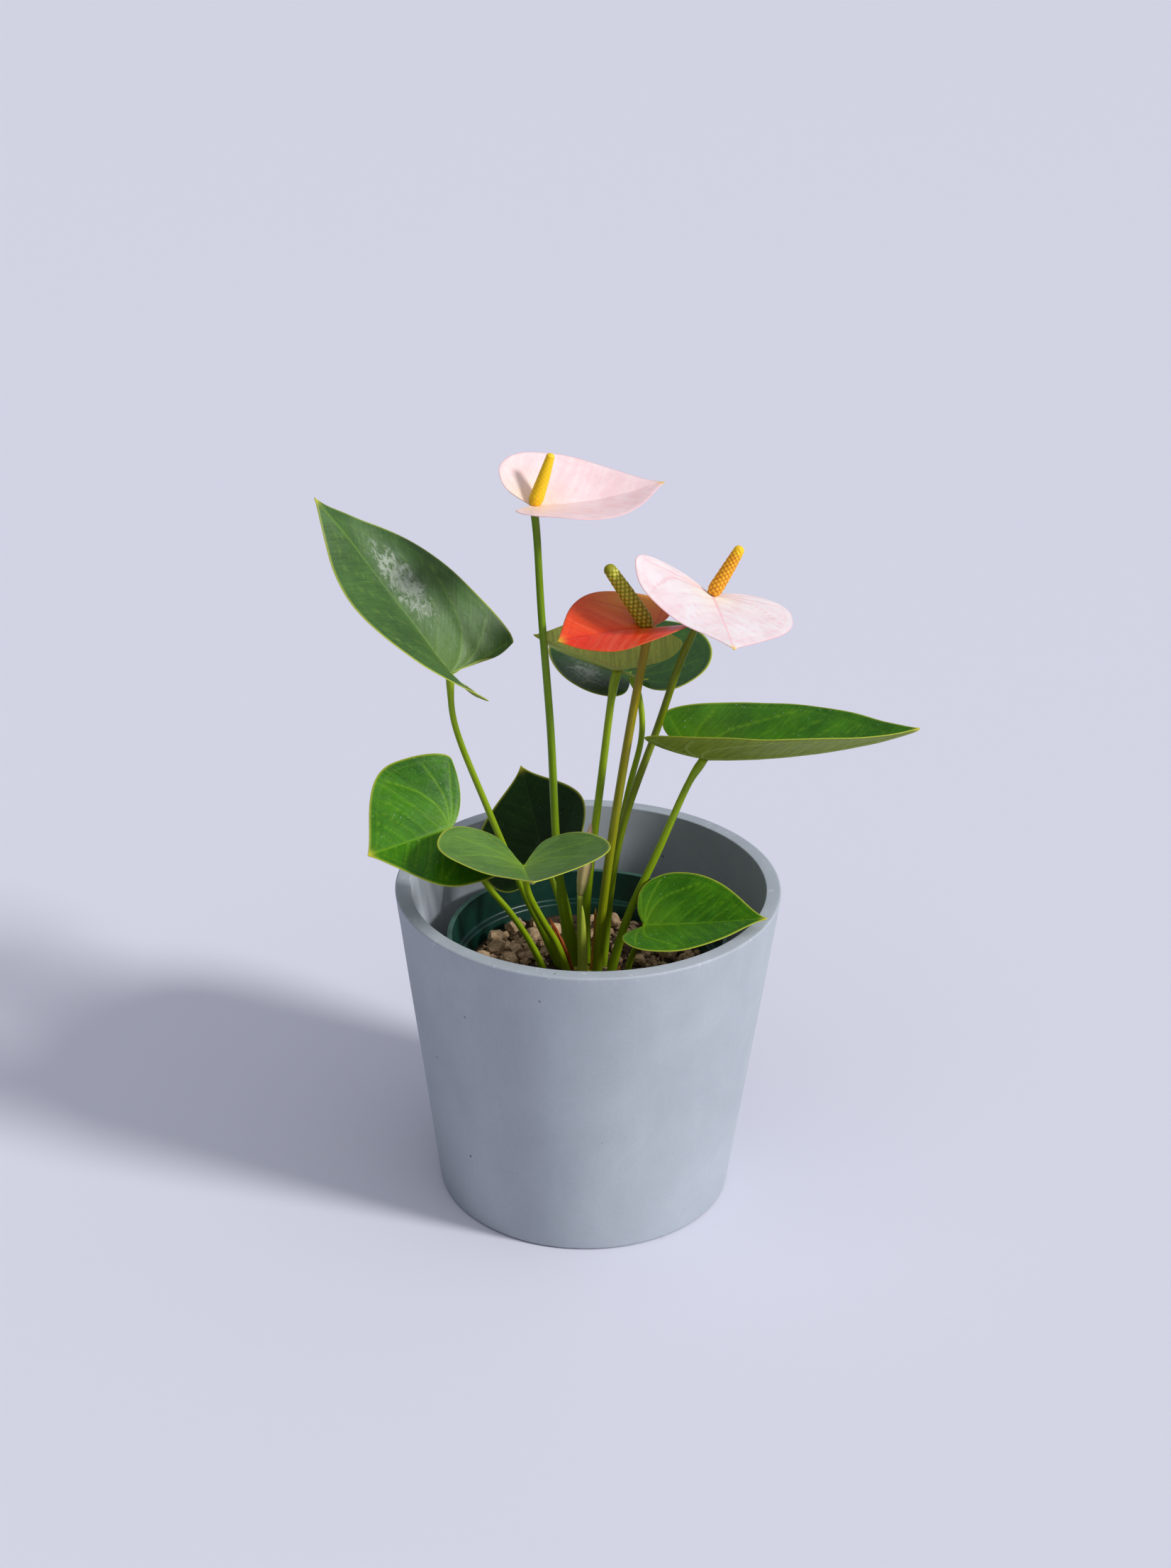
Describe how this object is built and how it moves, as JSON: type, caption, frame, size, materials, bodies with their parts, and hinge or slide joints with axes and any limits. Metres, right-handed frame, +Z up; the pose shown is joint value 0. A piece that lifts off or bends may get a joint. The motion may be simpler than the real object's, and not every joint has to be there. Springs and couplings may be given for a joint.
{
  "type": "potted anthurium",
  "caption": "Small flowering anthurium with heart-shaped leaves and coloured spathes, growing in a nursery pot inside a tapered cover pot.",
  "frame": {"origin": "centre of the cover pot's base, on the surface that it stands on", "axes": "+Z up; the plant's front faces -Y, and the long leaf reaches towards +X"},
  "size_m": [0.223, 0.1535, 0.3055],
  "materials": {
    "pot": "matt slate blue-grey",
    "nursery_plastic": "satin dark green",
    "potting_mix": "loose and rough",
    "pumice": "rough and porous",
    "leaf": "waxy",
    "petiole": "satin",
    "flower_stalk": "satin",
    "spathe_pink": "waxy, slightly translucent",
    "spathe_red": "waxy",
    "spathe_white": "waxy, slightly translucent",
    "spadix_pink": "satin",
    "spadix_red": "satin",
    "spadix_white": "satin",
    "bud": "satin",
    "young_growth": "satin",
    "dry_leaf": "dry and papery"
  },
  "bodies": {
    "root": {"bud_spathe": "bud", "bud_stalk": "young_growth", "crown": "young_growth", "dry_leaf_scrap": "dry_leaf", "dry_sheath_brown": "dry_leaf", "dry_sheath_orange": "dry_leaf", "dry_twig": "dry_leaf", "flower_stalk_pink": "flower_stalk", "flower_stalk_red": "flower_stalk", "flower_stalk_white": "flower_stalk", "leaf_back": "leaf", "leaf_front": "leaf", "leaf_long_right": "leaf", "leaf_low_right": "leaf", "leaf_lower_left": "leaf", "leaf_mid_back": "leaf", "leaf_mid_front": "leaf", "leaf_upper_left": "leaf", "new_leaf_sheath": "young_growth", "nursery_pot": "nursery_plastic", "outer_pot": "pot", "pebble_01": "pumice", "pebble_02": "pumice", "pebble_03": "pumice", "pebble_04": "pumice", "pebble_05": "pumice", "pebble_06": "pumice", "pebble_07": "pumice", "pebble_08": "pumice", "pebble_09": "pumice", "pebble_10": "pumice", "pebble_11": "pumice", "pebble_12": "pumice", "pebble_13": "pumice", "pebble_14": "pumice", "pebble_15": "pumice", "pebble_16": "pumice", "pebble_17": "pumice", "pebble_18": "pumice", "pebble_19": "pumice", "pebble_20": "pumice", "petiole_back": "petiole", "petiole_front": "petiole", "petiole_long_right": "petiole", "petiole_low_right": "petiole", "petiole_lower_left": "petiole", "petiole_mid_back": "petiole", "petiole_mid_front": "petiole", "petiole_upper_left": "petiole", "potting_mix": "potting_mix", "small_sheath": "dry_leaf", "spadix_pink": "spadix_pink", "spadix_red": "spadix_red", "spadix_white": "spadix_white", "spathe_pink": "spathe_pink", "spathe_red": "spathe_red", "spathe_white": "spathe_white"}
  },
  "joints": []
}
